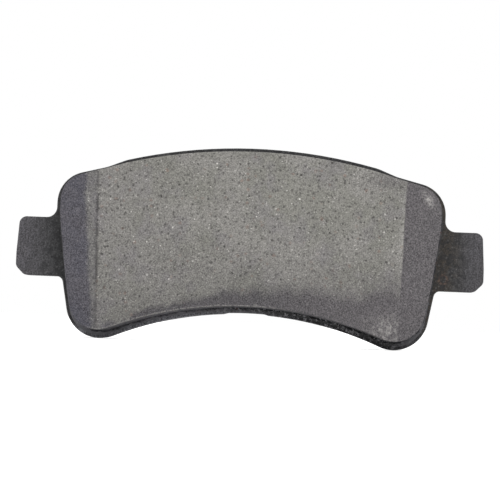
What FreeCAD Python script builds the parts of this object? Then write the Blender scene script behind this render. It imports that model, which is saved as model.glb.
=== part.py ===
"""Disc brake pad for a sliding caliper, as a bonded stack of separate pieces.

Frame, in millimetres: the disc turns about an axis along Y that lies straight below the part.
+Z is radially outward from the disc, +X runs along the disc's rim, and -Y faces the disc.
The origin is on the pressure face (the outside of the shim), where the piston's axis meets it.
"""

import FreeCAD, Part
import math
import os

Vector = FreeCAD.Vector
TO_DISC = Vector(0, -1, 0)
same_place = 0.001              # places nearer to each other than this are one

# ---- Driving dimensions ------------------------------------------------------------------

# Backing plate outline; its crown and its hollow are circles about the disc's axis
effective_radius = 125.0        # disc axis to piston axis
crown_rise = 24.3               # piston axis to the middle of the crown
hollow_drop = 24.3              # piston axis down to the middle of the hollow
overall_length = 137.0          # ear tip to ear tip
body_length = 114.0             # across the upright flanks above the ears
flank_height = 11.8             # upright flank, from the ear to the shoulder's sharp corner
flank_step = 2.4                # how much further in the flank is below the ear
lower_flank_lean = 10.6         # degrees that the lower flanks lean inward
crown_length = 74.0             # chord of the crown between its shoulders
shoulder_step = 0.68            # how far the shoulders are set down from the crown's circle
shoulder_step_run = 5.5         # length along X in which they step down
shoulder_slope = 14.2           # degrees that the shoulders fall outward
shoulder_blend_radius = 14.0
smooth_bend = 5.0               # degrees; a bend gentler than this stays unrounded
upper_corner_radius = 9.2
lower_corner_radius = 10.0
hollow_notch_length = 10.6      # shallow locating notch in the middle of the hollow
hollow_notch_depth = 0.3
hollow_notch_ramp = 1.4

# Ears that slide in the caliper bracket
ear_height = 17.3
ear_tip_flat = 4.2              # upright part of the tip, above its chamfer
ear_tip_lean = 3.4              # degrees that the tip leans in above the flat
ear_tip_chamfer = 2.6
ear_tip_radius = 2.2
ear_upper_root_radius = 3.0
ear_lower_root_radius = 2.0

# Thicknesses, from the pressure face towards the disc
shim_coat_thickness = 0.12      # rubber on each side of the shim's steel
shim_steel_thickness = 0.5
shim_adhesive_thickness = 0.08
plate_thickness = 5.5
bond_thickness = 0.1
underlayer_thickness = 1.8
lining_thickness = 9.5

# Moulded friction stack
lining_border = 1.9             # plate showing all round the stack at its foot
lining_shift = 0.35             # how far towards +X the stack sits on the plate
lining_shoulder_step = 0.2      # the stack's shoulders hardly step down from its crown
lining_corner_radius = 10.8     # its lower corners, measured at the plate's outline
lining_draft = 1.5              # degrees that the stack's walls lean inward
lining_flat_length = 87.0       # friction face between the end chamfers
end_chamfer_angle = 17.0        # degrees
lining_edge_break = 0.2
bond_border = 0.9               # plate left bare outside the bond coat

# Keying holes that the underlayer is pressed through
keying_hole_diameter = 11.0
keying_hole_spacing = 44.0
keying_hole_rise = 2.0          # above the piston axis
keying_flare = 0.9              # flare on the shim side, so that the plugs can't pull out

# Half-sheared pips that locate the shim
pip_diameter = 6.0
pip_height = 0.55
pip_spacing = 80.0
pip_rise = 0.5                  # above the piston axis
pip_clearance = 0.3             # between a pip and the shim's hole, all round

# Edges
shim_border = 3.2               # plate showing round the shim
die_roll_radius = 0.7           # rounded edge of the plate on the shim side
burr_break = 0.25               # broken edge of the plate on the lining side

# ---- Worked-out places -------------------------------------------------------------------

shim_steel_y = -shim_coat_thickness
shim_inner_coat_y = shim_steel_y - shim_steel_thickness
shim_adhesive_y = shim_inner_coat_y - shim_coat_thickness
plate_y = shim_adhesive_y - shim_adhesive_thickness
bond_y = plate_y - plate_thickness
underlayer_y = bond_y - bond_thickness
lining_y = underlayer_y - underlayer_thickness
friction_face_y = lining_y - lining_thickness

crown_radius = effective_radius + crown_rise
hollow_radius = effective_radius - hollow_drop
crown_x = crown_length / 2
shoulder_x = crown_x + shoulder_step_run
flank_x = body_length / 2
tip_x = overall_length / 2


def tan(degrees):
    return math.tan(math.radians(degrees))


def at(x, z, y=0.0):
    return Vector(x, y, z)


def rim_z(radius, x):
    """Height at x of the circle of that radius about the disc's axis."""
    return math.sqrt(radius * radius - x * x) - effective_radius


shoulder_drop = (flank_x - shoulder_x) * tan(shoulder_slope)
ear_top_z = rim_z(crown_radius, shoulder_x) - shoulder_step - shoulder_drop - flank_height
ear_bottom_z = ear_top_z - ear_height

# ---- Corner points of the outlines, on the right side --------------------------------------


def moved_in(start, end, distance):
    """The line from start to end, moved towards its left side by distance."""
    along = (end - start).normalize()
    side = at(-along.z, along.x) * distance
    return start + side, end + side


def crossing(first, second):
    """Where two lines meet, each given by two points."""
    start, end = first
    along, across = end - start, second[1] - second[0]
    share = across.cross(second[0] - start).y / across.cross(along).y
    return start + along * share


def rim_crossing(line, radius):
    """Where a line meets the circle of that radius about the disc's axis, nearest its start."""
    start, along = line[0] + at(0, effective_radius), (line[1] - line[0]).normalize()
    middle = -start.dot(along)
    half_chord = math.sqrt(middle**2 - start.dot(start) + radius**2)
    share = min(middle - half_chord, middle + half_chord, key=abs)
    return line[0] + along * share


def body_side(step=shoulder_step, corner_radius=lower_corner_radius, inset=0.0):
    """Side of the plate without its ear, moved in by inset: corner points and their radii."""
    low = at(flank_x - flank_step, ear_bottom_z)
    shoulder_z = rim_z(crown_radius, shoulder_x) - step
    corners = [
        low - at(tan(lower_flank_lean), 1) * ear_height,
        low,
        at(flank_x, ear_top_z),
        at(flank_x, shoulder_z - shoulder_drop),
        at(shoulder_x, shoulder_z),
        at(crown_x, rim_z(crown_radius, crown_x)),
    ]
    lines = [moved_in(a, b, inset) for a, b in zip(corners, corners[1:])]
    points = [rim_crossing(lines[0], hollow_radius + inset)]
    points += [crossing(a, b) for a, b in zip(lines, lines[1:])]
    points.append(rim_crossing(lines[-1][::-1], crown_radius - inset))
    hollow_corner = shoulder_blend_radius + inset
    radii = [corner_radius - inset, 0, 0, upper_corner_radius - inset, hollow_corner]
    return list(zip(points, radii + [shoulder_blend_radius - inset]))


def plate_side():
    """Side of the plate with its ear: corner points and their radii."""
    body = body_side()
    flat_bottom_z = ear_bottom_z + ear_tip_chamfer
    flat_top_z = flat_bottom_z + ear_tip_flat
    lean = (ear_top_z - flat_top_z) * tan(ear_tip_lean)
    ear = [
        (at(flank_x - flank_step, ear_bottom_z), ear_lower_root_radius),
        (at(tip_x - ear_tip_chamfer, ear_bottom_z), ear_tip_radius),
        (at(tip_x, flat_bottom_z), ear_tip_radius),
        (at(tip_x, flat_top_z), 0),
        (at(tip_x - lean, ear_top_z), ear_tip_radius),
        (at(flank_x, ear_top_z), ear_upper_root_radius),
    ]
    return body[:1] + ear + body[3:]


# ---- Outlines, drawn in the plane y = 0 ---------------------------------------------------


def rim_arc(radius, start_x, end_x):
    """Arc of a circle about the disc's axis."""
    xs = (start_x, (start_x + end_x) / 2, end_x)
    return Part.Arc(*(at(x, rim_z(radius, x)) for x in xs)).toShape()


def chain(points):
    return [Part.LineSegment(a, b).toShape() for a, b in zip(points, points[1:])]


def mirrored(points):
    return [at(-p.x, p.z) for p in reversed(points)]


def notched_hollow(corner_x):
    """The plate's concave lower side from left to right, with its locating notch."""
    top_x = hollow_notch_length / 2
    foot_x = top_x + hollow_notch_ramp
    notch_radius = hollow_radius + hollow_notch_depth
    ramp = [at(top_x, rim_z(notch_radius, top_x)), at(foot_x, rim_z(hollow_radius, foot_x))]
    return (
        [rim_arc(hollow_radius, -corner_x, -foot_x)]
        + chain(mirrored(ramp))
        + [rim_arc(notch_radius, -top_x, top_x)]
        + chain(ramp)
        + [rim_arc(hollow_radius, foot_x, corner_x)]
    )


def outline(side, hollow, inset=0.0):
    """Closed sharp-cornered outline: the hollow, the right side, the crown and the left side."""
    points = [point for point, _ in side]
    crown_end = points[-1].x
    edges = hollow + chain(points)
    edges.append(rim_arc(crown_radius - inset, crown_end, -crown_end))
    edges += chain(mirrored(points))
    return Part.Wire(Part.__sortEdges__(edges))


# ---- Solid helpers ------------------------------------------------------------------------


def slab(wire, thickness, y_start):
    """The outline as a plate that reaches from y_start towards the disc."""
    return Part.Face(wire).extrude(TO_DISC * thickness).translated(at(0, 0, y_start))


def bend(solid, edge):
    """Degrees that the outline turns by at an upright edge."""
    point = edge.Vertexes[0].Point
    faces = solid.ancestorsOfType(edge, Part.Face)
    normals = [f.normalAt(*f.Surface.parameter(point)) for f in faces]
    return math.degrees(normals[0].getAngle(normals[1]))


def corner_edges(solid, point):
    """The edges along Y that stand at the point, or at its mirror image, with a real bend."""
    found = []
    for edge in solid.Edges:
        box = edge.BoundBox
        upright = max(box.XLength, box.ZLength) < same_place
        beside = max(abs(abs(box.XMin) - point.x), abs(box.ZMin - point.z)) < same_place
        if upright and beside and bend(solid, edge) > smooth_bend:
            found.append(edge)
    return found


def round_corners(solid, side):
    """Rounds the upright edges at the side's corner points and at their mirror images."""
    for point, radius in side:
        edges = corner_edges(solid, point) if radius else []
        if edges:
            solid = solid.makeFillet(radius, edges)
    return solid


def body_slab(inset, y_start, thickness, step=shoulder_step, corner_radius=lower_corner_radius):
    """Plate of the body's outline, moved in by inset, from y_start towards the disc."""
    side = body_side(step, corner_radius, inset)
    corner_x = side[0][0].x
    wire = outline(side, [rim_arc(hollow_radius + inset, -corner_x, corner_x)], inset)
    return round_corners(slab(wire, thickness, y_start), side)


def lies_in(shape, y):
    box = shape.BoundBox
    return max(abs(box.YMin - y), abs(box.YMax - y)) < same_place


def edges_at(solid, y):
    return [e for e in solid.Edges if lies_in(e, y)]


def wire_at(solid, y):
    """Outer wire of the solid's flat face in the plane y."""
    return next(f for f in solid.Faces if lies_in(f, y)).OuterWire


def pair(spacing):
    """The two places beside the piston's axis that lie the given distance apart."""
    return (-spacing / 2, spacing / 2)


def pins(diameter, spacing, rise, y_start, length):
    """A pair of round pins that reach from y_start towards the disc."""
    radius = diameter / 2
    return [Part.makeCylinder(radius, length, at(x, rise, y_start), TO_DISC) for x in pair(spacing)]


def pip_pins(y_start, length, clearance=0.0):
    return pins(pip_diameter + 2 * clearance, pip_spacing, pip_rise, y_start, length)


def keying_plugs(y_end):
    """Round plugs from the plate's shim side to y_end, flared at the shim side."""
    radius = keying_hole_diameter / 2
    wide = radius + keying_flare
    plugs = pins(keying_hole_diameter, keying_hole_spacing, keying_hole_rise, plate_y, plate_y - y_end)
    for x in pair(keying_hole_spacing):
        centre = at(x, keying_hole_rise, plate_y)
        plugs.append(Part.makeCone(wide, radius, keying_flare, centre, TO_DISC))
    return plugs


# ---- Pieces -------------------------------------------------------------------------------


def backing_plate():
    """Fine-blanked plate; each pip is a slug pushed out, which leaves a socket behind it."""
    side = plate_side()
    wire = outline(side, notched_hollow(side[0][0].x))
    plate = round_corners(slab(wire, plate_thickness, plate_y), side)
    plate = plate.makeFillet(die_roll_radius, edges_at(plate, plate_y))
    plate = plate.makeChamfer(burr_break, edges_at(plate, bond_y))
    plate = plate.fuse(pip_pins(plate_y + pip_height, plate_thickness))
    sockets = pip_pins(bond_y + pip_height, pip_height)
    return plate.cut(keying_plugs(bond_y) + sockets).removeSplitter()


def bond_coat():
    """Lacquer on the plate's lining side, with the keying holes and sockets left open."""
    coat = body_slab(bond_border, bond_y, bond_thickness)
    return coat.cut(keying_plugs(underlayer_y) + pip_pins(bond_y, bond_thickness))


def end_wedge(side):
    """What the chamfer takes off the stack at one end; side is 1 or -1."""
    flat_x = lining_flat_length / 2
    drop = (tip_x - flat_x) * tan(end_chamfer_angle)
    low_z = rim_z(hollow_radius, tip_x)
    corners = [
        at(side * flat_x, low_z, friction_face_y),
        at(side * tip_x, low_z, friction_face_y + drop),
        at(side * tip_x, low_z, friction_face_y - drop),
    ]
    return Part.Face(Part.makePolygon(corners + corners[:1])).extrude(at(0, crown_radius))


def lining_section(y, edge_break):
    """Outline of the drafted stack in the plane y."""
    inset = lining_border + (underlayer_y - y) * tan(lining_draft) + edge_break
    section = body_slab(inset, y, lining_thickness, lining_shoulder_step, lining_corner_radius)
    return wire_at(section, y)


def moulded_stack():
    """Underlayer and lining as they leave the grinder: drafted walls and chamfered ends."""
    foot = lining_section(underlayer_y, 0)
    break_start = lining_section(friction_face_y + lining_edge_break, 0)
    top = lining_section(friction_face_y, lining_edge_break)
    stack = Part.makeLoft([foot, break_start, top], True, True)
    stack = stack.cut([end_wedge(-1), end_wedge(1)])
    return stack.translated(at(lining_shift, 0))


def layer(stack, y_start, thickness):
    """The slice of the stack from y_start towards the disc."""
    box = stack.BoundBox
    corner = Vector(box.XMin, y_start - thickness, box.ZMin)
    return stack.common(Part.makeBox(box.XLength, thickness, box.ZLength, corner))


def underlayer(stack):
    """The stack's first layer, with its plugs in the keying holes and bosses in the sockets."""
    base = layer(stack, underlayer_y, underlayer_thickness)
    bosses = pip_pins(bond_y + pip_height, pip_height + bond_thickness)
    return base.fuse(keying_plugs(underlayer_y) + bosses).removeSplitter()


def shim_layer(y_start, thickness):
    """One sheet of the laminated shim, with its holes over the plate's pips."""
    sheet = body_slab(shim_border, y_start, thickness)
    return sheet.cut(pip_pins(y_start, thickness, pip_clearance))


def make_pieces():
    stack = moulded_stack()
    return {
        "shim_outer_rubber": shim_layer(0, shim_coat_thickness),
        "shim_steel": shim_layer(shim_steel_y, shim_steel_thickness),
        "shim_inner_rubber": shim_layer(shim_inner_coat_y, shim_coat_thickness),
        "shim_adhesive": shim_layer(shim_adhesive_y, shim_adhesive_thickness),
        "backing_plate": backing_plate(),
        "bond_coat": bond_coat(),
        "underlayer": underlayer(stack),
        "friction_lining": layer(stack, lining_y, lining_thickness),
    }


os.makedirs("parts", exist_ok=True)
for name, shape in make_pieces().items():
    shape.exportStep(f"parts/{name}.step")
    print(name, "valid", shape.isValid(), "solids", len(shape.Solids), f"volume {shape.Volume:.1f} mm3")
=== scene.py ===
"""Looks of a disc brake pad: its ground friction block and the finishes of its other pieces.

Frame, in metres: the disc turns about an axis along Y that lies straight below the part, +Z is radially
outward, +X runs along the disc's rim and -Y faces the disc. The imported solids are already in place.
"""

import math
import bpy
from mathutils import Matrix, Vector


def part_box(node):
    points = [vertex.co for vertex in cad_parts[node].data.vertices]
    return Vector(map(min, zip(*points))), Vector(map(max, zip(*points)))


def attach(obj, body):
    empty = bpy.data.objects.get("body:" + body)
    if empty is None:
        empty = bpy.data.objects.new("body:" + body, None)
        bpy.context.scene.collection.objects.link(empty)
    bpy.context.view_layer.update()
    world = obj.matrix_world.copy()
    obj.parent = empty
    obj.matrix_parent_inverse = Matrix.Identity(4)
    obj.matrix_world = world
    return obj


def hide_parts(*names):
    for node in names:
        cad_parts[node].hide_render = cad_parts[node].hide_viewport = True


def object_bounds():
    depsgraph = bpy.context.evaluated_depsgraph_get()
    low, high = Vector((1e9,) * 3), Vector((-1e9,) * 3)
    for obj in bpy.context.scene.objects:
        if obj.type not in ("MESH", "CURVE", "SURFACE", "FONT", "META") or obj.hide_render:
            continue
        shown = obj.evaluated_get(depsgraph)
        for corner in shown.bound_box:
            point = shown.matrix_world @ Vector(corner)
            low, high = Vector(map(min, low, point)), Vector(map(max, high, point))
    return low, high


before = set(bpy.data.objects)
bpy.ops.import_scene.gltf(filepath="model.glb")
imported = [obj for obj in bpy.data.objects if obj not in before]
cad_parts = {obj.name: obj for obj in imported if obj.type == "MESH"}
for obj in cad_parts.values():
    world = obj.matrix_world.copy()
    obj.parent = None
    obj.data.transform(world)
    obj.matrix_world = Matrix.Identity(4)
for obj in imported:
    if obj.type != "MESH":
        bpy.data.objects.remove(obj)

from types import SimpleNamespace

import bmesh
import bpy
import numpy as np
from mathutils import Quaternion, Vector

solid_low, solid_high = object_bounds()
mm = 0.001

# ---- Driving dimensions -------------------------------------------------------------------

effective_radius = 125 * mm       # disc axis to piston axis
hollow_radius = 100.7 * mm        # circle of the plate's hollow side about the disc axis
wall_draft = 1.5                  # degrees that the block's walls lean inward
chamfer_angle = 17.0              # degrees of the chamfer at each end of the block
edge_round = 0.2 * mm             # rounded edge between the face and the walls
chip_depth = 0.5 * mm             # how far crumbled places eat further into that edge

# Edges of the flat ground face, where the end chamfers start; heights are above the piston axis
left_edge_x = -43.1 * mm
right_edge_x = 44.6 * mm
edge_lean = 1.5                   # degrees that both lean towards the middle at their foot
groove_width = 0.95 * mm          # shallow groove that the grinding leaves along the left edge
groove_depth = 0.12 * mm
groove_half = 0.5 * mm            # half width of the change to the strip past the groove
skimmed_share = 0.72              # how well the strip past the groove is ground

# What the grinding wheel doesn't reach keeps its moulded skin
left_skin_x = -46.3 * mm
left_skin_lean = 5.5              # degrees that its limit leans
left_skin_step = 0.9 * mm         # how much wider the left skin is in the block's top corner
low_skin_z = -17.6 * mm           # upper limit of the lower skin, under the piston axis
low_skin_rise = 0.122             # rise of that limit towards the right
low_skin_bow = 0.0043 / mm        # how it bows down towards both ends
low_skin_hook = 4.5 * mm          # how far it turns up again in the right corner
low_skin_fade = 1.1 * mm          # half width of its fading limit on the left
low_skin_smear = 2.3 * mm         # added to that on the right
low_smear = 16 * mm               # the face is ground less well for this far above the limit
smear_share = 0.76
right_fade = 0.15 * mm            # half width of the sharp limit along the right edge
left_wander = 0.4 * mm            # how far the limits stray: on the left, on the right and below
right_wander = 0.12 * mm
low_wander = 0.9 * mm
skin_depth = 0.14 * mm            # skin below the ground face
skin_lump = 0.05 * mm

# Stretches over which those limits change, from the first place to the second
left_skin_top = (8 * mm, 11 * mm)           # by z: to the wider top of the left skin
left_skin_fade = (-0.9 * mm, 1.2 * mm)      # across its limit
low_skin_smeared = (-25 * mm, 20 * mm)      # by x: to the right, where the lower limit is smeared
low_skin_corner = (32 * mm, 42 * mm)        # by x: to the right corner, where it turns up

# Grains torn out of the ground face
grain_spacing = 1.9 * mm
grain_radius = 0.42 * mm
grain_share = 0.55                # share of the cells that have lost their grain
grain_depth = 0.26 * mm

# Rough bead of compound that the mould squeezes out around the foot
flash_width = 0.85 * mm
flash_height = 0.35 * mm

# Where the finishes change, in the same way
low_side = (-17 * mm, -20 * mm)             # by z: down to the finish of the lower side
left_half = (20 * mm, -24 * mm)             # by x: to the paler coat on the left of that side
right_corner = (41 * mm, 46 * mm)           # by x: to the paler coat in its right corner
dull_left = (-12 * mm, -44 * mm)            # by x: to the duller left of the ground face
blue_skin = (-36 * mm, -42 * mm)            # by x: to the bluer skin at the left end
pale_skin = (2 * mm, 25 * mm)               # by x: to the paler skin on the right
left_unshaded_tip = (-55 * mm, -69 * mm)             # by x: to the paler tip of the left ear, out of the painted shade at its root
right_unshaded_tip = (58.5 * mm, 67 * mm)            # by x: to the paler tip of the right ear, out of the painted shade at its root
right_unshaded_tip_top = (-14 * mm, 0.0)             # by z: to the upper part of that tip
plate_front = (-4.4 * mm, -5.6 * mm)        # by y: from the plate's edge to its side by the lining
plate_feet = (-28.5 * mm, -31 * mm)         # by z: to the lowest corners of the plate, rubbed and painted lighter against the block's shadow
lit_rubbed_rim = (2.1 * mm, 0.8 * mm)           # by distance from the hollow: the rim there is rubbed and painted lighter against the block's shadow
lit_rubbed_left = (22 * mm, 6 * mm)             # by x: to the left part of that rim, rubbed and painted lightest
stain_start = (50 * mm, 53 * mm)            # by x: to the brown stain by the right ear
stain_end = (64 * mm, 57 * mm)
crust_end = (56 * mm, 50 * mm)              # by x: to the plate's crust, which leaves the ear free

# Ring of rust on the root of the right ear: its middle, and its inner and outer limits
rust_spot = (56.8 * mm, -6.3 * mm, -12 * mm)
rust_inside = (0.6 * mm, 1.1 * mm)
rust_outside = (1.8 * mm, 1.3 * mm)

# Studio, in metres and watts
ambient = 0.6                     # strength of the white surroundings on the pad
floor_half = 3.0
floor_lift = 0.62                 # glow that brings the floor up to white
lamp_size = 0.7
front_lamp_place, front_lamp_power = (0.35, -1.0, 0.75), 8.0
back_lamp_place, back_lamp_power = (-0.5, 1.1, 0.8), 9.0

# Camera, with its angles in degrees
camera_azimuth = 3.265            # towards the right
camera_elevation = -2.718         # below the level
camera_roll = 2.361
camera_distance = 431.55 * mm
camera_target = (0.453 * mm, -6 * mm, -5.474 * mm)
camera_lens = 106.205             # focal length in millimetres on a sensor of this width:
camera_sensor = 36.0

# Grid of the block's surface
rim_points = 1000
wall_rings = 11
edge_rings = 5
face_rings = 82
rim_softening = 3.5               # steps over which the foot's corners are rounded
flash_points = 10                 # points around the flash's section
spine_half = 34 * mm              # half the length of the face's middle line
same_place = 0.001 * mm           # points closer than this are one

lining_low, lining_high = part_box("friction_lining")
face_y, foot_y = lining_low.y, lining_high.y
block_height = foot_y - face_y
coat_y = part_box("bond_coat")[0].y
floor_z = solid_low.z

# Places on the face: x and z of the middle, then the reach along x and along z
dull_patch = (40.5 * mm, 15.2 * mm, 6.5 * mm, 2.8 * mm)
pale_part = (15 * mm, 8.5 * mm, 17 * mm, 8 * mm)
dark_part = (-21 * mm, -9 * mm, 13 * mm, 6 * mm)
worn_corner = (right_edge_x - 3.4 * mm, lining_low.z + 3.6 * mm, 5.4 * mm, 3.8 * mm)
worn_row = (right_edge_x, 2 * mm, 20 * mm, 13 * mm)
knock = (-41 * mm, 17.3 * mm, 3 * mm, 1.2 * mm)

# Limits of the other rubbed places and of the painted highlights
scuff_highlight_middle = (lining_high.x - 4.1 * mm, 10.6 * mm)
scuff_highlight_reach = (1.1 * mm, 2.6 * mm)          # across and along the scuff, a patch of wear with its shine painted on as a highlight, which leans this much:
scuff_highlight_slope = 0.55
row_start = (0.0, 0.3 * mm)                 # by distance inside the right edge
row_end = (1.6 * mm, 0.5 * mm)
lip_right = (14 * mm, 4 * mm)               # by x: from each end of the lip to where its painted highlight is
lip_left = (-48 * mm, -40 * mm)


# ---- Shapes worked out on grids -----------------------------------------------------------


def tan(degrees):
    """Tangent of an angle in degrees."""
    return math.tan(math.radians(degrees))


def smoothstep(start, end, value):
    """0 up to start, 1 from end on, and between them 3 t^2 - 2 t^3 of the share t of the way."""
    share = np.clip((value - start) / (end - start), 0, 1)
    return share * share * (3 - 2 * share)


def lattice_noise(x, z, size, seed):
    """Smooth random values from -1 to 1: one random number at each corner of a square lattice of
    that size, and between the corners a blend that follows the smoothstep in both directions."""
    table = np.random.default_rng(seed).uniform(-1, 1, (256, 256))
    column, row = np.floor(x / size), np.floor(z / size)
    across, up = smoothstep(0, 1, x / size - column), smoothstep(0, 1, z / size - row)
    column, row = column.astype(int) % 255, row.astype(int) % 255
    low = table[column, row] * (1 - across) + table[column + 1, row] * across
    high = table[column, row + 1] * (1 - across) + table[column + 1, row + 1] * across
    return low * (1 - up) + high * up


def torn_grains(x, z, spacing, radius, share, seed):
    """How deep each place lies in a pit, from 0 to 1. Each square cell of the spacing holds one grain,
    moved off its middle at random; its pit is a paraboloid, 1 minus the squared distance over the
    squared radius. The deepest of the nine nearest pits counts."""
    draws = np.random.default_rng(seed).uniform(0, 1, (4, 128, 128))
    deepest = np.zeros_like(x)
    for right, up in np.ndindex(3, 3):
        column, row = np.floor(x / spacing) + right - 1, np.floor(z / spacing) + up - 1
        dx, dz, size, luck = draws[:, column.astype(int) % 128, row.astype(int) % 128]
        centre_x, centre_z = (column + dx) * spacing, (row + dz) * spacing
        reach = radius * (0.45 + 0.55 * size)
        distance = np.hypot(x - centre_x, z - centre_z)
        deepest = np.maximum(deepest, (1 - (distance / reach) ** 2) * (luck < share))
    return deepest


def bell(x, z, middle_x, middle_z, reach_x, reach_z):
    """1 at the middle, falling off as e to the minus of the squared distance, which is taken over
    the reach each way."""
    return np.exp(-(((x - middle_x) / reach_x) ** 2) - ((z - middle_z) / reach_z) ** 2)


def corner_places(node_name):
    """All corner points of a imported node, as rows of x, y and z."""
    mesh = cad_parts[node_name].data
    places = np.empty(len(mesh.vertices) * 3, np.float32)
    mesh.vertices.foreach_get("co", places)
    return places.reshape(-1, 3).astype(float)


def softened(values, width):
    """Closed row of values, each blended with its neighbours by a bell curve of that many steps."""
    steps = np.minimum(np.arange(len(values)), len(values) - np.arange(len(values)))
    weights = np.exp(-0.5 * (steps / width) ** 2)
    return np.fft.irfft(np.fft.rfft(values) * np.fft.rfft(weights / weights.sum()), len(values))


def foot_rim():
    """Closed line around the block's foot, as its x, its z and the outward direction at each point.
    The foot's corners are put in order of their angle about the piston axis and joined by straight
    runs, and points are spread evenly over the upper and over the lower half of that line."""
    places = corner_places("friction_lining")
    foot = places[places[:, 1] > foot_y - same_place][:, (0, 2)]
    angle = np.arctan2(foot[:, 1], foot[:, 0]) % (2 * math.pi)
    order = np.argsort(angle)
    angle, foot = angle[order], foot[order]
    angle = np.concatenate([angle[-1:] - 2 * math.pi, angle, angle[:1] + 2 * math.pi])
    foot = np.vstack([foot[-1], foot, foot[0]])
    run = np.concatenate([[0], np.cumsum(np.hypot(*np.diff(foot, axis=0).T))])
    right_end, left_end, next_right = np.interp([0, math.pi, 2 * math.pi], angle, run)
    upper = np.linspace(right_end, left_end, rim_points // 2, endpoint=False)
    lower = np.linspace(left_end, next_right, rim_points // 2, endpoint=False)
    along = np.concatenate([upper, lower])
    x, z = (softened(np.interp(along, run, row), rim_softening) for row in foot.T)
    step_x, step_z = np.roll(x, -1) - np.roll(x, 1), np.roll(z, -1) - np.roll(z, 1)
    length = np.hypot(step_x, step_z)
    return x, z, step_z / length, -step_x / length


def beyond_left_edge(x, z):
    """Distance past the left edge of the flat face, towards the end of the block."""
    return (left_edge_x - x) - z * tan(edge_lean)


def beyond_right_edge(x, z):
    """The same for the right edge."""
    return (x - right_edge_x) - z * tan(edge_lean)


def cut_depth(x, z):
    """How far the end chamfers lie behind the flat face: the distance past the face's edge times
    the tangent of the chamfer's angle."""
    past = np.maximum(beyond_left_edge(x, z), beyond_right_edge(x, z))
    return np.maximum(past, 0) * tan(chamfer_angle)


def ground_share(x, z):
    """1 where the wheel has ground the face and 0 where the moulded skin is left. Each limit is a
    line or a shallow bow, moved to and fro by random values, and the two fade into each other."""
    wander = lattice_noise(x, z, 3 * mm, seed=5) + 0.6 * lattice_noise(x, z, 1 * mm, seed=6)
    left = (x - left_skin_x) + z * tan(left_skin_lean) + left_wander * wander
    left -= left_skin_step * smoothstep(*left_skin_top, z)
    right = -beyond_right_edge(x, z) + right_wander * wander
    low_limit = low_skin_z + low_skin_rise * x - low_skin_bow * x * x
    low_limit += low_skin_hook * smoothstep(*low_skin_corner, x)
    low = z - low_limit + low_wander * wander
    fade = low_skin_fade + low_skin_smear * smoothstep(*low_skin_smeared, x)
    past_groove = smoothstep(-groove_half, groove_half, beyond_left_edge(x, z))
    ground = smoothstep(*left_skin_fade, left) * smoothstep(-right_fade, right_fade, right)
    ground *= 1 - 0.55 * bell(x, z, *dull_patch)
    ground *= smoothstep(-fade, fade, low)
    ground *= smear_share + (1 - smear_share) * smoothstep(0, low_smear, low)
    return ground * (1 - past_groove * (1 - skimmed_share))


def tone_change(x, z):
    """How much paler or, below 0, darker broad parts of the ground face are: paler above and to the
    right of the middle, darker low on the left."""
    return 0.1 * bell(x, z, *pale_part) - 0.14 * bell(x, z, *dark_part)


def worn_share(x, z, near_lip):
    """Places where handling has left the surface paler, and painted highlights: by the right lower
    corner of the face, on the right end's upper corner, where a patch of wear has its shine painted
    on as a pale highlight, in a row along the right edge, a painted highlight along the lower lip,
    and at a knock by the left upper corner. Each is a bell around its middle, or around its line,
    broken up at random."""
    fine = lattice_noise(x, z, 0.8 * mm, seed=21) + lattice_noise(x, z, 0.4 * mm, seed=22)
    fine = 0.5 + 0.5 * fine
    inside = -beyond_right_edge(x, z)
    corner = bell(x, z, *worn_corner) * (inside > 0)
    # scuff on the upper right corner: a patch of wear with its shine painted on as a highlight
    from_x, from_z = x - scuff_highlight_middle[0], z - scuff_highlight_middle[1]
    across, along = from_x + scuff_highlight_slope * from_z, from_z - scuff_highlight_slope * from_x
    scuff_highlight = bell(across, along, 0, 0, *scuff_highlight_reach)
    row = smoothstep(*row_start, inside) * smoothstep(*row_end, inside)
    row *= bell(x, z, *worn_row)
    # painted highlight along the lower lip
    lip = near_lip * smoothstep(*lip_right, x) * smoothstep(*lip_left, x)
    places = [0.95 * corner * fine, 1.2 * scuff_highlight * (0.15 + 1.3 * fine), 0.8 * row * fine]
    places += [0.55 * lip * (0.75 + 0.4 * fine), 0.6 * bell(x, z, *knock) * fine]
    return np.clip(np.maximum.reduce(places), 0, 1)


def face_relief(x, z):
    """Depth of the face behind its flat plane: pits, the lower skin with its lumps, and the groove.
    Also gives the ground share, the pits and the groove as values from 0 to 1."""
    ground = ground_share(x, z)
    pits = torn_grains(x, z, grain_spacing, grain_radius, grain_share, seed=11) * (0.25 + 0.75 * ground)
    lumps = lattice_noise(x, z, 1.6 * mm, seed=31) + 0.6 * lattice_noise(x, z, 0.7 * mm, seed=32)
    groove = np.exp(-((beyond_left_edge(x, z) / (groove_width / 2)) ** 2))
    groove *= smoothstep(-1, 0.2, lattice_noise(x, z, 2.2 * mm, seed=33)) * ground
    depth = pits * grain_depth + groove * groove_depth
    depth += (1 - ground) * (skin_depth + skin_lump * lumps)
    return depth, ground, pits, groove


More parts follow.
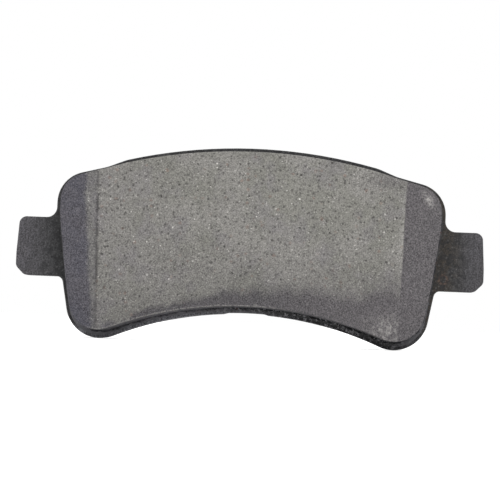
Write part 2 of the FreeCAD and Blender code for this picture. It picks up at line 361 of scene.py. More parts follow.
def block_rings(rim):
    """The block's closed surface as rings of points, from the middle of its back, over the foot, up
    the drafted wall, round the edge and over the face to its middle line. A wall point is the rim
    moved inward by its height times the draft; the edge is a quarter round whose radius swells
    where it has crumbled; a face point lies on the straight way from the edge to the middle line,
    which is part of a circle about the disc's axis, at the depth of the chamfer and the relief."""
    x, z, out_x, out_z = rim
    mirror = (-np.arange(rim_points)) % rim_points
    middle_x = np.clip((x + x[mirror]) / 2, -spine_half, spine_half)
    middle_z = np.sqrt(effective_radius**2 - middle_x**2) - effective_radius
    rings = [(middle_x, np.full(rim_points, foot_y), middle_z, "back")]
    crumble = lattice_noise(x, z, 1.3 * mm, seed=41) + 0.7 * lattice_noise(x, z, 0.5 * mm, seed=42)
    radius = edge_round + chip_depth * smoothstep(0.5, 1.4, crumble)
    top = block_height - cut_depth(x - out_x * edge_round, z - out_z * edge_round)
    for share in np.linspace(0, 1, wall_rings):
        height = share * (top - radius)
        inset = height * tan(wall_draft)
        rings.append((x - out_x * inset, foot_y - height, z - out_z * inset, "wall"))
    wall_inset = (top - radius) * tan(wall_draft)
    for turn in np.linspace(0, math.pi / 2, edge_rings + 1)[1:]:
        inset = wall_inset + radius * (1 - math.cos(turn))
        height = top - radius * (1 - math.sin(turn))
        rings.append((x - out_x * inset, foot_y - height, z - out_z * inset, "edge"))
    edge_x, edge_z = rings[-1][0], rings[-1][2]
    for share in np.linspace(0, 1, face_rings + 1)[1:]:
        ring_x, ring_z = edge_x + (middle_x - edge_x) * share, edge_z + (middle_z - edge_z) * share
        settle = smoothstep(0, 0.8 * mm, np.hypot(ring_x - edge_x, ring_z - edge_z))
        depth = cut_depth(ring_x, ring_z) + face_relief(ring_x, ring_z)[0] * settle
        rings.append((ring_x, face_y + depth, ring_z, "face"))
    return rings


def grid_mesh(name, places, rings, around, closed_rings=False):
    """Mesh of four-cornered faces between neighbouring rings of a grid whose rings are closed."""
    ring = np.arange(rings if closed_rings else rings - 1)[:, None]
    step = np.arange(around)[None, :]
    next_ring, next_step = (ring + 1) % rings, (step + 1) % around
    corners = [ring * around + step, ring * around + next_step]
    corners += [next_ring * around + next_step, next_ring * around + step]
    faces = np.stack([np.broadcast_to(c, (len(ring), around)) for c in corners], -1).reshape(-1, 4)
    mesh = bpy.data.meshes.new(name)
    mesh.vertices.add(len(places))
    mesh.vertices.foreach_set("co", places.astype(np.float32).ravel())
    mesh.loops.add(faces.size)
    mesh.loops.foreach_set("vertex_index", faces.astype(np.int32).ravel())
    mesh.polygons.add(len(faces))
    mesh.polygons.foreach_set("loop_start", np.arange(0, faces.size, 4, dtype=np.int32))
    mesh.update(calc_edges=True)
    return mesh


def write_values(mesh, **values):
    """Puts one named value per point on the mesh, for its material to read."""
    for name, row in values.items():
        mesh.attributes.new(name, "FLOAT", "POINT").data.foreach_set("value", row.astype(np.float32))


def weld(mesh):
    """Closes the seams and poles, where several points of the grid lie in one place."""
    work = bmesh.new()
    work.from_mesh(mesh)
    bmesh.ops.remove_doubles(work, verts=work.verts, dist=same_place)
    bmesh.ops.dissolve_degenerate(work, edges=work.edges, dist=same_place / 10)
    work.to_mesh(mesh)
    work.free()
    mesh.polygons.foreach_set("use_smooth", np.ones(len(mesh.polygons), bool))


def new_object(name, data):
    """New object in the scene, at the origin."""
    made = bpy.data.objects.new(name, data)
    bpy.context.scene.collection.objects.link(made)
    return made


def piece(name, mesh, material):
    """Object of that mesh, which rides on the pad."""
    made = new_object(name, mesh)
    mesh.materials.append(material)
    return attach(made, "root")


def friction_block(rim, material):
    """The moulded lining with its ground face, in place of the plain solid."""
    rings = block_rings(rim)
    places = np.concatenate([np.column_stack(ring[:3]) for ring in rings])
    kinds = np.repeat([ring[3] for ring in rings], rim_points)
    x, z = places[:, 0], places[:, 2]
    _, ground, pits, groove = face_relief(x, z)
    on_face = (kinds == "face").astype(float)
    downward = np.tile(smoothstep(0.6, 0.95, -rim[3]), len(rings))
    near_lip = (kinds == "edge") * downward
    on_side = ((kinds == "wall") | (kinds == "back")).astype(float)
    risen = smoothstep(0.72, 1.0, (foot_y - places[:, 1]) / block_height)
    thin_coat = 0.45 * risen * smoothstep(-0.2, 0.9, lattice_noise(x, z, 3 * mm, seed=43))
    mesh = grid_mesh("ground_friction_block", places, len(rings), rim_points)
    write_values(
        mesh,
        ground=ground * (1 - on_side),
        tone=tone_change(x, z) * (1 - on_side),
        torn=pits * on_face,
        groove=groove * on_face,
        side=on_side * (1 - thin_coat),
        worn=worn_share(x, z, near_lip) * (1 - on_side),
    )
    weld(mesh)
    block = piece("ground_friction_block", mesh, material)
    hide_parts("friction_lining")


def foot_flash(rim, material):
    """Rough bead around the stack's foot. Its section is a flat ellipse whose width and height swell
    and shrink at random along the rim; half of it is buried in the stack and the lacquer."""
    x, z, out_x, out_z = rim
    swell = 0.45 * lattice_noise(x, z, 2.1 * mm, seed=51) + 0.3 * lattice_noise(x, z, 0.7 * mm, seed=52)
    swell = np.clip(0.55 + swell, 0.12, 1.2)
    turns = np.linspace(0, 2 * math.pi, flash_points, endpoint=False)
    out = np.cos(turns)[:, None] * swell * flash_width
    up = np.sin(turns)[:, None] * (0.4 + 0.6 * swell) * flash_height
    ring_x, ring_z = x + out_x * out, z + out_z * out
    places = np.stack([ring_x, coat_y - up, ring_z], -1).reshape(-1, 3)
    mesh = grid_mesh("foot_flash", places, len(turns), rim_points, closed_rings=True)
    weld(mesh)
    bead = piece("foot_flash", mesh, material)


# ---- Node helpers -------------------------------------------------------------------------


def colour(red, green, blue):
    """Scene colour of a paint-chart colour from 0 to 255."""
    parts = [c / 255 for c in (red, green, blue)]
    return [c / 12.92 if c <= 0.04045 else ((c + 0.055) / 1.055) ** 2.4 for c in parts] + [1.0]


def node(tree, kind, inputs=None, **settings):
    """New node with its settings, its inputs given as values or as outputs of other nodes."""
    made = tree.nodes.new(kind)
    for name, value in settings.items():
        setattr(made, name, value)
    for name, value in (inputs or {}).items():
        if isinstance(value, bpy.types.NodeSocket):
            tree.links.new(value, made.inputs[name])
        else:
            made.inputs[name].default_value = value
    return made


def maths(tree, operation, first, second=0.0, third=0.0, clamp=False):
    """Result of one operation; MULTIPLY_ADD is the first times the second, plus the third."""
    inputs = {0: first, 1: second, 2: third}
    return node(tree, "ShaderNodeMath", inputs, operation=operation, use_clamp=clamp).outputs[0]


def product(tree, first, *others):
    """The first value times all the others."""
    for value in others:
        first = maths(tree, "MULTIPLY", first, value)
    return first


def total(tree, *terms):
    """Sum of pairs of a value and its factor."""
    result = 0.0
    for value, factor in terms:
        result = maths(tree, "MULTIPLY_ADD", value, factor, result)
    return result


def ramp(tree, value, start, end, low=0.0, high=1.0):
    """Smooth change from low to high while the value goes from start to end."""
    inputs = {"Value": value, "From Min": start, "From Max": end, "To Min": low, "To Max": high}
    return node(tree, "ShaderNodeMapRange", inputs, interpolation_type="SMOOTHSTEP").outputs["Result"]


def blend(tree, share, first, second):
    """Colour that goes from first to second as the share goes from 0 to 1."""
    inputs = {0: share, 6: first, 7: second}
    return node(tree, "ShaderNodeMix", inputs, data_type="RGBA").outputs[2]


def painted(tree, base, *coats):
    """The base under one coat after another; each has a mask, its strength and a colour."""
    for mask, strength, paint in coats:
        base = blend(tree, maths(tree, "MULTIPLY", mask, strength), base, colour(*paint))
    return base


def lighten(tree, base, amount):
    """The colour times one plus the amount."""
    inputs = {0: base, "Scale": maths(tree, "ADD", amount, 1.0)}
    return node(tree, "ShaderNodeVectorMath", inputs, operation="SCALE").outputs[0]


def new_group(name, inputs, outputs):
    """Empty group whose sockets are given by name and type, with the values of its inputs."""
    group = bpy.data.node_groups.new(name, "ShaderNodeTree")
    for label, (kind, value) in inputs.items():
        socket = group.interface.new_socket(label, in_out="INPUT", socket_type=kind)
        if value is not None:
            socket.default_value = value
    for label, kind in outputs.items():
        group.interface.new_socket(label, in_out="OUTPUT", socket_type=kind)
    return group, group.nodes.new("NodeGroupInput").outputs, group.nodes.new("NodeGroupOutput").inputs


VALUE, PLACE = "NodeSocketFloat", "NodeSocketVector"


def noise_shade(tree, place, scale, detail, roughness=0.5):
    """Random shade around 0, mostly from -1 to 1."""
    inputs = {"Vector": place, "Scale": scale, "Detail": detail, "Roughness": roughness}
    noise = node(tree, "ShaderNodeTexNoise", inputs).outputs["Fac"]
    return maths(tree, "MULTIPLY_ADD", noise, 4.0, -2.0)


def make_grain_group():
    """Fine random grain of a given size: a shade, and a height that is finer still."""
    inputs = {"Place": (PLACE, None), "Size": (VALUE, 0.5 * mm), "Roughness": (VALUE, 0.6)}
    group, given, result = new_group("grain", inputs, {"Shade": VALUE, "Height": VALUE})
    scale = maths(group, "DIVIDE", 1.0, given["Size"])
    shade = noise_shade(group, given["Place"], scale, 3.0, given["Roughness"])
    height = noise_shade(group, given["Place"], maths(group, "MULTIPLY", scale, 1.7), 2.0)
    group.links.new(shade, result["Shade"])
    group.links.new(height, result["Height"])
    return group


def make_speck_group():
    """Scattered specks with ragged outlines: each cell of a random pattern may hold one speck."""
    inputs = {
        "Place": (PLACE, None),
        "Spacing": (VALUE, 1 * mm),
        "Size": (VALUE, 0.3),
        "Share": (VALUE, 0.5),
    }
    group, given, result = new_group("specks", inputs, {"Mask": VALUE})
    scale = maths(group, "DIVIDE", 1.0, given["Spacing"])
    ragged = {"Vector": given["Place"], "Scale": maths(group, "MULTIPLY", scale, 2.6), "Detail": 2.0}
    push = node(group, "ShaderNodeTexNoise", ragged, noise_dimensions="3D").outputs["Color"]
    scaled = {0: given["Place"], "Scale": scale}
    place = node(group, "ShaderNodeVectorMath", scaled, operation="SCALE").outputs[0]
    pushed = {0: push, 1: (0.5, 0.5, 0.5), 2: place}
    moved = node(group, "ShaderNodeVectorMath", pushed, operation="MULTIPLY_ADD").outputs[0]
    cells = node(group, "ShaderNodeTexVoronoi", {"Vector": moved, "Scale": 1.0})
    draw = node(group, "ShaderNodeSeparateColor", {0: cells.outputs["Color"]}).outputs
    radius = maths(group, "MULTIPLY", given["Size"], maths(group, "MULTIPLY_ADD", draw[1], 0.6, 0.4))
    rest = maths(group, "DIVIDE", cells.outputs["Distance"], radius)
    present = maths(group, "LESS_THAN", draw[0], given["Share"])
    strength = maths(group, "MULTIPLY_ADD", draw[2], 0.65, 0.35)
    mask = product(group, ramp(group, rest, 0.5, 1.1, 1.0, 0.0), present, strength)
    group.links.new(mask, result["Mask"])
    return group


def make_patch_group():
    """Soft cloudy patches of a given size that cover a given share of the surface."""
    inputs = {"Place": (PLACE, None), "Size": (VALUE, 10 * mm), "Share": (VALUE, 0.5)}
    group, given, result = new_group("patches", inputs, {"Mask": VALUE})
    scale = maths(group, "DIVIDE", 1.0, given["Size"])
    cloud = {"Vector": given["Place"], "Scale": scale, "Detail": 4.0, "Roughness": 0.55}
    noise = node(group, "ShaderNodeTexNoise", cloud).outputs["Fac"]
    limit = maths(group, "MULTIPLY_ADD", given["Share"], -0.5, 0.75)
    start, end = maths(group, "SUBTRACT", limit, 0.1), maths(group, "ADD", limit, 0.1)
    group.links.new(ramp(group, noise, start, end), result["Mask"])
    return group


def make_streak_group():
    """Fine streaks along one direction: grain that is stretched many times along it."""
    inputs = {"Place": (PLACE, None), "Size": (VALUE, 0.3 * mm), "Stretch": (PLACE, (1, 1, 12))}
    group, given, result = new_group("streaks", inputs, {"Shade": VALUE})
    stretched = {0: given["Place"], 1: given["Stretch"]}
    place = node(group, "ShaderNodeVectorMath", stretched, operation="DIVIDE").outputs[0]
    scale = maths(group, "DIVIDE", 1.0, given["Size"])
    group.links.new(noise_shade(group, place, scale, 3.0, 0.6), result["Shade"])
    return group


effects = {
    "grain": make_grain_group(),
    "specks": make_speck_group(),
    "patches": make_patch_group(),
    "streaks": make_streak_group(),
}


def start_material(name):
    """Empty material and its tree, with a Principled shader and the place on the object."""
    material = bpy.data.materials.new(name)
    material.use_nodes = True
    node(material.node_tree, "ShaderNodeTexCoord", name="place")
    return material, material.node_tree


def place_in(tree):
    """The place on the object, which every pattern of a material follows."""
    return tree.nodes["place"].outputs["Object"]


def place_parts(tree):
    """Parts of that place: across along X, away from the disc along Y and upward along Z."""
    return node(tree, "ShaderNodeSeparateXYZ", {0: place_in(tree)}).outputs


def effect(tree, name, **values):
    """One of the shared effects, with its own values; gives its outputs."""
    made = node(tree, "ShaderNodeGroup", node_tree=effects[name])
    tree.links.new(place_in(tree), made.inputs["Place"])
    for label, value in values.items():
        made.inputs[label.capitalize()].default_value = value
    return made.outputs


def grain_of(tree, size, roughness):
    """Shade and height of a grain of that size."""
    return effect(tree, "grain", size=size, roughness=roughness)


def specks(tree, spacing, size, share):
    """Mask of specks: their size is given over their spacing, and that share of the cells has one."""
    return effect(tree, "specks", spacing=spacing, size=size, share=share)["Mask"]


def patches(tree, size, share):
    """Mask of patches of that size, which cover that share of the surface."""
    return effect(tree, "patches", size=size, share=share)["Mask"]


def streaks(tree, size, stretch):
    """Shade of streaks of that size, stretched that many times along each axis."""
    return effect(tree, "streaks", size=size, stretch=stretch)["Shade"]


def value_of(tree, name):
    """One of the values that are written on the mesh."""
    return node(tree, "ShaderNodeAttribute", attribute_name=name).outputs["Fac"]


def finish_surface(tree, base, height, depth, roughness, specular=0.5, metallic=0.0):
    """Joins colour, roughness and fine relief to the shader; the relief's depth is in metres."""
    shader = tree.nodes["Principled BSDF"]
    shader.inputs["Specular IOR Level"].default_value = specular
    shader.inputs["Metallic"].default_value = metallic
    tree.links.new(base, shader.inputs["Base Color"])
    if isinstance(roughness, bpy.types.NodeSocket):
        tree.links.new(roughness, shader.inputs["Roughness"])
    else:
        shader.inputs["Roughness"].default_value = roughness
    bump = node(tree, "ShaderNodeBump", {"Height": height, "Distance": depth, "Strength": 1.0})
    tree.links.new(bump.outputs["Normal"], shader.inputs["Normal"])


# ---- Finishes -----------------------------------------------------------------------------


def lower_side(tree):
    """Two masks of the lower side: where the coat is paler, on the left half and a little in the right
    corner, and where a crust of crumbs sticks in it, mostly between the two."""
    across, _, upward = place_parts(tree)
    low = ramp(tree, upward, *low_side)
    left, corner = ramp(tree, across, *left_half), ramp(tree, across, *right_corner)
    pale = total(tree, (left, 1.0), (corner, 0.55))
    crumbly = total(tree, (left, -0.9), (corner, -0.75), (1.0, 1.0))
    return product(tree, low, pale), product(tree, low, crumbly)


def with_crust(tree, base, share):
    """The base under a black crust full of fine grey crumbs, by the share."""
    crumbs = ramp(tree, grain_of(tree, 1.1 * mm, 0.9)["Shade"], 0.05, 0.45)
    return painted(tree, base, (share, 0.9, (9, 9, 12)), (crumbs, share, (146, 144, 148)))


def compound_marks(tree):
    """Random marks that the face, the skin and the walls of the friction block share. The fine ones
    crowd together in patches."""
    crowd = maths(tree, "MULTIPLY_ADD", patches(tree, 4 * mm, 0.55), 0.75, 0.25)
    return SimpleNamespace(
        grain=grain_of(tree, 0.42 * mm, 0.8),
        coarse=grain_of(tree, 1.5 * mm, 0.65),
        clouds=patches(tree, 15 * mm, 0.5),
        pits=specks(tree, 1.25 * mm, 0.36, 0.5),
        fine_pits=product(tree, specks(tree, 0.68 * mm, 0.5, 0.5), crowd),
        chips=specks(tree, 1.35 * mm, 0.26, 0.55),
        fine_chips=product(tree, specks(tree, 0.75 * mm, 0.46, 0.45), crowd),
    )


def ground_face(tree, marks):
    """Colour of the ground face: pale grey, duller on the left, with a few purple patches and rusty
    fibres, pale chips, dark pits, torn grains and the dark groove."""
    along = place_parts(tree)[0]
    base = painted(
        tree,
        blend(tree, marks.clouds, colour(138, 136, 132), colour(128, 127, 121)),
        (ramp(tree, along, *dull_left), 0.5, (123, 121, 118)),
        (patches(tree, 7 * mm, 0.34), 0.3, (128, 123, 130)),
        (specks(tree, 2.1 * mm, 0.3, 0.35), 0.55, (130, 107, 96)),
    )
    shade = total(tree, (marks.grain["Shade"], 0.66), (marks.coarse["Shade"], 0.15))
    shade = total(tree, (value_of(tree, "tone"), 0.9), (shade, 1.0))
    return painted(
        tree,
        lighten(tree, base, shade),
        (marks.fine_chips, 0.65, (182, 179, 174)),
        (marks.fine_pits, 0.9, (78, 76, 74)),
        (marks.chips, 1.0, (222, 219, 213)),
        (marks.pits, 0.95, (66, 64, 62)),
        (value_of(tree, "torn"), 0.85, (64, 62, 61)),
        (value_of(tree, "groove"), 0.95, (64, 62, 62)),
    )


def moulded_skin(tree, marks):
    """Colour of the moulded skin: purple-grey, bluer at the left end and paler on the right."""
    along = place_parts(tree)[0]
    base = painted(
        tree,
        blend(tree, ramp(tree, along, *blue_skin), colour(83, 81, 83), colour(82, 81, 89)),
        (ramp(tree, along, *pale_skin), 1.0, (95, 92, 94)),
        (marks.clouds, 0.3, (98, 94, 97)),
    )
    shade = total(tree, (marks.grain["Shade"], 0.98), (marks.coarse["Shade"], 0.1))
    return painted(
        tree,
        lighten(tree, base, shade),
        (marks.fine_chips, 0.4, (122, 119, 123)),
        (marks.chips, 0.3, (146, 142, 143)),
        (marks.fine_pits, 0.55, (58, 56, 60)),
        (marks.pits, 0.4, (60, 58, 62)),
    )


def oversprayed_wall_and_shade(tree, marks):
    """Colour of the walls under the overspray of powder coat, with draw marks along the way out of
    the mould and a crust at the lower right; its dark colour also stands for the shade under the
    block, as painted shade. Also gives the draw marks as a shade."""
    paler_coat, crumbly = lower_side(tree)
    drawn = total(tree, (paler_coat, 0.35), (crumbly, 1.5), (1.0, 0.35))
    draw = product(tree, streaks(tree, 0.5 * mm, (1.0, 16.0, 1.0)), drawn)
    draw = maths(tree, "MAXIMUM", draw, -0.85)
    # dark overspray, which also stands in as painted shade under the block
    base = blend(tree, paler_coat, colour(45, 44, 46), colour(82, 81, 85))
    shade = total(tree, (marks.grain["Shade"], 0.9), (marks.coarse["Shade"], 0.2), (draw, 1.0))
    base = painted(
        tree,
        lighten(tree, base, maths(tree, "MAXIMUM", shade, -0.9)),
        (marks.fine_chips, 0.6, (112, 110, 110)),
        (marks.chips, 0.5, (150, 147, 145)),
        (marks.fine_pits, 0.9, (20, 20, 22)),
        (marks.pits, 0.9, (16, 16, 18)),
    )
    return with_crust(tree, base, product(tree, crumbly, 0.6)), draw


def friction_compound():
    """The ground face, the moulded skin that the wheel hasn't reached, both paler where handling has
    left them so and under painted highlights at a patch of wear on the right upper corner and along
    the lower lip, and the oversprayed walls, whose dark colour is partly painted shade under the
    block. The grain makes the limits between them ragged."""
    material, tree = start_material("ground_friction_compound")
    marks, side = compound_marks(tree), value_of(tree, "side")
    shade = marks.grain["Shade"]
    ground = maths(tree, "MULTIPLY_ADD", shade, 0.22, value_of(tree, "ground"), clamp=True)
    base = blend(tree, ground, moulded_skin(tree, marks), ground_face(tree, marks))
    pale = maths(tree, "MULTIPLY_ADD", shade, 1.0, 0.68, clamp=True)
    # pale places from handling, and the painted highlights on the corner scuff and the lower lip
    base = painted(tree, base, (value_of(tree, "worn"), pale, (172, 169, 166)))
    wall, draw = oversprayed_wall_and_shade(tree, marks)
    covered = maths(tree, "MULTIPLY_ADD", shade, 0.12, side, clamp=True)
    base = blend(tree, ramp(tree, covered, 0.1, 0.9), base, wall)
    height = total(
        tree,
        (marks.grain["Height"], 0.3),
        (marks.coarse["Height"], 0.25),
        (marks.pits, -1.4),
        (marks.fine_pits, -0.6),
        (marks.chips, 0.3),
        (product(tree, draw, side), 0.6),
    )
    rough = maths(tree, "MULTIPLY_ADD", marks.chips, -0.35, 0.86)
    finish_surface(tree, base, height, 0.06 * mm, rough, specular=0.3)
    return material


def dark_compound(name, tone, stain):
    """Coarse dark compound, dusted with the plate's powder coat: the tone with lumps, rusty specks of
    the stain's colour, grey crumbs and black pores, and a crust at the lower right."""
    material, tree = start_material(name)
    grain, lumps = grain_of(tree, 0.45 * mm, 0.8), grain_of(tree, 1.3 * mm, 0.6)
    pores = specks(tree, 0.9 * mm, 0.45, 0.55)
    paler_coat, crumbly = lower_side(tree)
    rust = specks(tree, 2.4 * mm, 0.4, 0.35)
    base = painted(tree, colour(*tone), (paler_coat, 1.0, (82, 81, 85)), (rust, 0.6, stain))
    drawn = total(tree, (crumbly, 1.4), (1.0, 0.4))
    draw = product(tree, streaks(tree, 0.5 * mm, (1.0, 9.0, 1.0)), drawn)
    shade = total(tree, (grain["Shade"], 0.7), (lumps["Shade"], 0.3), (draw, 1.0))
    base = painted(
        tree,
        lighten(tree, base, maths(tree, "MAXIMUM", shade, -0.85)),
        (specks(tree, 0.8 * mm, 0.4, 0.35), 0.5, (112, 111, 112)),
        (pores, 0.9, (16, 16, 18)),
    )
    base = with_crust(tree, base, crumbly)
    height = total(tree, (grain["Height"], 0.5), (lumps["Height"], 0.5), (pores, -1.2))
    finish_surface(tree, base, height, 0.08 * mm, 0.9, specular=0.25)
    return material


def unshaded_ear_tips(tree, across, upward):
    """Mask of the ears' paler tips; the right one is weaker, most of all low down. The darker coat
    outside them is painted shade from the block on the ears' roots.
    """
    strength = ramp(tree, upward, *right_unshaded_tip_top, 0.6, 0.8)
    right = product(tree, ramp(tree, across, *right_unshaded_tip), strength)
    return maths(tree, "MAXIMUM", ramp(tree, across, *left_unshaded_tip), right)


def rim_rub_and_light(tree, across, upward, in_front):
    """Mask of the coat's rub along the hollow, by the distance from the disc's axis, and at the
    plate's lowest corners: most on the left and on the side by the lining. Its pale colour is partly
    rub and partly painted light against the block's shadow."""
    from_axis = {0: across, 2: maths(tree, "ADD", upward, effective_radius)}
    from_axis = {0: node(tree, "ShaderNodeCombineXYZ", from_axis).outputs[0]}
    radius = node(tree, "ShaderNodeVectorMath", from_axis, operation="LENGTH").outputs["Value"]
    by_hollow = ramp(tree, radius, hollow_radius + lit_rubbed_rim[0], hollow_radius + lit_rubbed_rim[1])
    rub = maths(tree, "MAXIMUM", by_hollow, ramp(tree, upward, *plate_feet))
    on_left = ramp(tree, across, *lit_rubbed_left, 0.2, 1.0)
    return product(tree, rub, on_left, maths(tree, "MULTIPLY_ADD", in_front, 0.7, 0.3))


def rust_ring(tree):
    """Mask of the ring of rust, by the distance from its middle."""
    spot = {0: place_in(tree), 1: rust_spot}
    distance = node(tree, "ShaderNodeVectorMath", spot, operation="DISTANCE").outputs["Value"]
    inner, outer = ramp(tree, distance, *rust_inside), ramp(tree, distance, *rust_outside)
    return product(tree, inner, outer)


def powder_coat():
    """Dark grey powder coat on the plate: orange peel and faint streaks, paler at the ears' tips than
    elsewhere, where the darker coat is painted shade from the block on the ears' roots, and paler
    along the rim by the hollow, which is partly rub and partly painted light against the block's
    shadow; rough with hollows, pores and crumbs elsewhere, with a brown stain and a ring of rust by
    the right ear and a crust at the lower right of the side by the lining."""
    material, tree = start_material("powder_coat")
    across, away, upward = place_parts(tree)
    peel, grain = grain_of(tree, 0.9 * mm, 0.6), grain_of(tree, 0.45 * mm, 0.85)
    unshaded_tip, in_front = unshaded_ear_tips(tree, across, upward), ramp(tree, away, *plate_front)
    rubbed_and_lit = rim_rub_and_light(tree, across, upward, in_front)
    by_ear = product(tree, ramp(tree, across, *stain_start), ramp(tree, across, *stain_end))
    stained = product(tree, patches(tree, 5 * mm, 0.72), by_ear)
    rusty = product(tree, specks(tree, 1.5 * mm, 0.42, 0.45), stained)
    rusty = maths(tree, "MAXIMUM", rusty, rust_ring(tree))
    base = painted(
        tree,
        # darker away from the ears' tips: painted shade from the block on the ears' roots
        blend(tree, unshaded_tip, colour(50, 50, 51), colour(78, 76, 80)),
        (patches(tree, 6 * mm, 0.5), 0.14, (62, 60, 60)),
        # paler rim: partly rub, partly painted light against the block's shadow
        (rubbed_and_lit, 1.0, (134, 134, 139)),
        (stained, 0.85, (50, 44, 37)),
        (rusty, 0.42, (100, 78, 68)),
    )
    faint = streaks(tree, 0.55 * mm, (1.0, 1.0, 5.0))
    shade = total(tree, (grain["Shade"], 1.5), (peel["Shade"], 0.25), (faint, 0.35))
    smooth = maths(tree, "MAXIMUM", ramp(tree, unshaded_tip, 0.0, 0.7), rubbed_and_lit)
    rough_root = ramp(tree, smooth, 0.0, 1.0, 1.0, 0.3)
    hollows = product(tree, ramp(tree, patches(tree, 2.2 * mm, 0.42), 0.2, 0.8), 0.65)
    pores = specks(tree, 0.85 * mm, 0.6, 0.6)
    crumbs = product(tree, specks(tree, 0.75 * mm, 0.5, 0.5), rough_root)
    base = painted(
        tree,
        lighten(tree, base, maths(tree, "MAXIMUM", shade, -0.8)),
        (hollows, rough_root, (24, 24, 26)),
        (pores, rough_root, (20, 20, 22)),
        (crumbs, 0.45, (96, 95, 96)),
    )
    off_ear = ramp(tree, across, *crust_end)
    crumbly = product(tree, lower_side(tree)[1], off_ear, in_front)
    base = with_crust(tree, base, crumbly)
    base = painted(tree, base, (specks(tree, 1.6 * mm, 0.24, 0.3), 0.6, (126, 124, 124)))
    height = total(tree, (peel["Height"], 0.8), (grain["Height"], 0.3), (pores, -0.6))
    rough = maths(tree, "MULTIPLY_ADD", peel["Shade"], 0.08, 0.64)
    finish_surface(tree, base, height, 0.035 * mm, rough, specular=0.35)
    return material


def bond_lacquer():
    """Thin black-brown lacquer around the stack's foot, with dust of the compound and, at the lower
    right, a crust of it."""
    material, tree = start_material("bond_lacquer")
    grain, runs = grain_of(tree, 0.4 * mm, 0.7), patches(tree, 2.5 * mm, 0.5)
    dust = specks(tree, 0.8 * mm, 0.3, 0.3)
    paler_coat, crumbly = lower_side(tree)
    base = blend(tree, runs, colour(40, 40, 42), colour(56, 54, 54))
    base = painted(tree, base, (paler_coat, 1.0, (112, 111, 116)))
    base = lighten(tree, base, product(tree, grain["Shade"], 0.25))
    base = with_crust(tree, base, crumbly)
    base = painted(tree, base, (dust, 0.4, (96, 92, 92)))
    height = total(tree, (grain["Height"], 0.7), (dust, 0.8))
    finish_surface(tree, base, height, 0.03 * mm, ramp(tree, runs, 0.0, 1.0, 0.42, 0.6))
    return material


def shim_rubber():
    """Nitrile rubber on the shim: leathery grain, cloudy sheen, packing scuffs both ways and dust."""
    material, tree = start_material("shim_rubber")
    leather, fine = grain_of(tree, 1.1 * mm, 0.7), grain_of(tree, 0.5 * mm, 0.7)
    clouds, smears = patches(tree, 16 * mm, 0.45), patches(tree, 6 * mm, 0.4)
    dents = specks(tree, 3.2 * mm, 0.2, 0.4)
    level = streaks(tree, 0.6 * mm, (30.0, 1.0, 1.4))
    upright = streaks(tree, 0.7 * mm, (1.3, 1.0, 22.0))
    scuffed = maths(tree, "MAXIMUM", ramp(tree, level, 0.4, 0.95), ramp(tree, upright, 0.55, 1.05))
    scuffed = product(tree, scuffed, patches(tree, 11 * mm, 0.5))
    base = blend(tree, clouds, colour(47, 48, 51), colour(60, 60, 61))
    base = painted(tree, base, (smears, 0.35, (70, 70, 70)))
    shade = total(tree, (leather["Shade"], 0.3), (fine["Shade"], 0.34))
    base = painted(
        tree,
        lighten(tree, base, shade),
        (scuffed, 0.5, (98, 98, 99)),
        (specks(tree, 1.5 * mm, 0.22, 0.4), 0.6, (138, 136, 133)),
        (dents, 0.8, (28, 28, 30)),
    )
    height = total(tree, (leather["Height"], 0.7), (fine["Height"], 0.4), (dents, -0.8))
    height = total(tree, (height, 1.0), (scuffed, -0.2))
    rough = total(tree, (clouds, 0.12), (smears, 0.1), (scuffed, 0.12), (1.0, 0.46))
    finish_surface(tree, base, height, 0.03 * mm, rough, specular=0.45)
    return material


def shim_steel():
    """Cold-rolled steel of the shim, seen at its sheared edge: bright and dark bands and fine lines."""
    material, tree = start_material("shim_steel")
    lines = streaks(tree, 0.12 * mm, (1.0, 14.0, 1.0))
    grain, stain = grain_of(tree, 0.2 * mm, 0.6), patches(tree, 4 * mm, 0.35)
    base = blend(tree, stain, colour(176, 176, 178), colour(138, 130, 120))
    base = lighten(tree, base, total(tree, (lines, 0.16), (grain["Shade"], 0.06)))
    height = total(tree, (lines, 0.6), (grain["Height"], 0.3))
    rough = maths(tree, "MULTIPLY_ADD", lines, 0.08, 0.38)
    finish_surface(tree, base, height, 0.01 * mm, rough, metallic=1.0)
    return material


def shim_adhesive():
    """Thin grey pressure-sensitive adhesive between shim and plate."""
    material, tree = start_material("shim_adhesive")
    grain, dirt = grain_of(tree, 0.3 * mm, 0.6), patches(tree, 3 * mm, 0.5)
    base = blend(tree, dirt, colour(122, 118, 108), colour(84, 80, 74))
    base = lighten(tree, base, product(tree, grain["Shade"], 0.15))
    finish_surface(tree, base, grain["Height"], 0.015 * mm, 0.55)
    return material


# ---- Dressing the pad ---------------------------------------------------------------------


def dress(node_name, material):
    """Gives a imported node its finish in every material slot."""
    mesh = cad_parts[node_name].data
    if not mesh.materials:
        mesh.materials.append(material)
    for index in range(len(mesh.materials)):
        mesh.materials[index] = material


def dress_pad():
    """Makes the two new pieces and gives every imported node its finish."""
    rim = foot_rim()
    friction_block(rim, friction_compound())
    foot_flash(rim, dark_compound("flash_compound", (50, 50, 53), (92, 60, 50)))
    rubber = shim_rubber()
    finishes = {
        "backing_plate": powder_coat(),
        "bond_coat": bond_lacquer(),
        "underlayer": dark_compound("underlayer_compound", (50, 48, 48), (80, 56, 48)),
        "shim_outer_rubber": rubber,
        "shim_inner_rubber": rubber,
        "shim_steel": shim_steel(),
        "shim_adhesive": shim_adhesive(),
    }
    for node_name, material in finishes.items():
        dress(node_name, material)


# ---- Studio -------------------------------------------------------------------------------


def seen_directly(tree):
    """1 for rays from the camera, from gloss and through glass, which see a white studio."""
    path = node(tree, "ShaderNodeLightPath").outputs
    shiny = maths(tree, "MAXIMUM", path["Is Glossy Ray"], path["Is Transmission Ray"])
    return maths(tree, "MAXIMUM", path["Is Camera Ray"], shiny)


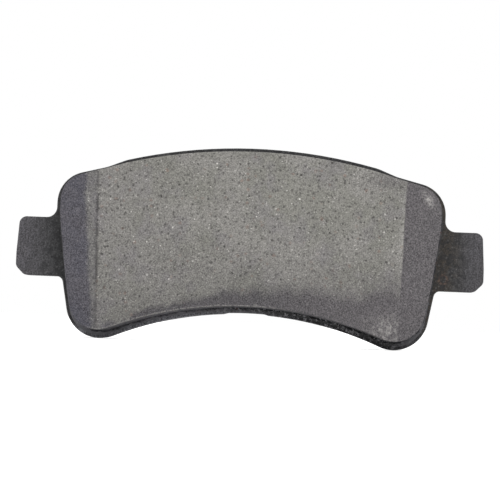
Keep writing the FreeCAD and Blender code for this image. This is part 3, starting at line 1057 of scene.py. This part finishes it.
def studio_floor():
    """Plain pale floor under the pad."""
    corners = [(-1, -1), (1, -1), (1, 1), (-1, 1)]
    places = [(x * floor_half, y * floor_half, floor_z) for x, y in corners]
    mesh = bpy.data.meshes.new("studio_floor")
    mesh.from_pydata(places, [], [(0, 1, 2, 3)])
    material, tree = start_material("studio_floor")
    shader = tree.nodes["Principled BSDF"]
    shader.inputs["Base Color"].default_value = (0.86, 0.86, 0.86, 1)
    shader.inputs["Roughness"].default_value = 0.9
    shader.inputs["Specular IOR Level"].default_value = 0.0
    shader.inputs["Emission Color"].default_value = (1, 1, 1, 1)
    lift = maths(tree, "MULTIPLY", seen_directly(tree), floor_lift)
    tree.links.new(lift, shader.inputs["Emission Strength"])
    mesh.materials.append(material)
    floor = new_object("studio_floor", mesh)


def studio_world():
    """White surroundings, which light the pad less than they look."""
    world = bpy.data.worlds.new("studio")
    bpy.context.scene.world = world
    world.use_nodes = True
    tree = world.node_tree
    strength = ramp(tree, seen_directly(tree), 0.0, 1.0, ambient, 1.0)
    background = tree.nodes["Background"]
    background.inputs["Color"].default_value = (1, 1, 1, 1)
    tree.links.new(strength, background.inputs["Strength"])


def soft_lamp(name, place, power):
    """Square lamp that looks at the pad."""
    lamp = bpy.data.lights.new(name, "AREA")
    lamp.size = lamp_size
    lamp.energy = power
    holder = new_object(name, lamp)
    holder.location = place
    holder.rotation_euler = (-Vector(place)).to_track_quat("-Z", "Y").to_euler()


def studio_camera():
    """Camera nearly square to the friction face, a little from the right and from below."""
    angles = (camera_azimuth, camera_elevation, camera_roll)
    azimuth, elevation, roll = (math.radians(angle) for angle in angles)
    side, level = math.sin(azimuth) * math.cos(elevation), math.cos(azimuth) * math.cos(elevation)
    back = Vector((side, -level, math.sin(elevation)))
    lens = bpy.data.cameras.new("studio_camera")
    lens.sensor_width = camera_sensor
    lens.lens = camera_lens
    lens.clip_start = 0.01
    camera = new_object("studio_camera", lens)
    camera.location = Vector(camera_target) + back * camera_distance
    camera.rotation_mode = "QUATERNION"
    turned = (-back).to_track_quat("-Z", "Y")
    camera.rotation_quaternion = turned @ Quaternion((0, 0, 1), roll)
    bpy.context.scene.camera = camera


def studio():
    """Camera, floor, surroundings and lamps."""
    studio_camera()
    studio_floor()
    studio_world()
    soft_lamp("front_lamp", front_lamp_place, front_lamp_power)
    soft_lamp("back_lamp", back_lamp_place, back_lamp_power)
    bpy.context.scene.view_settings.view_transform = "Standard"


studio()
dress_pad()
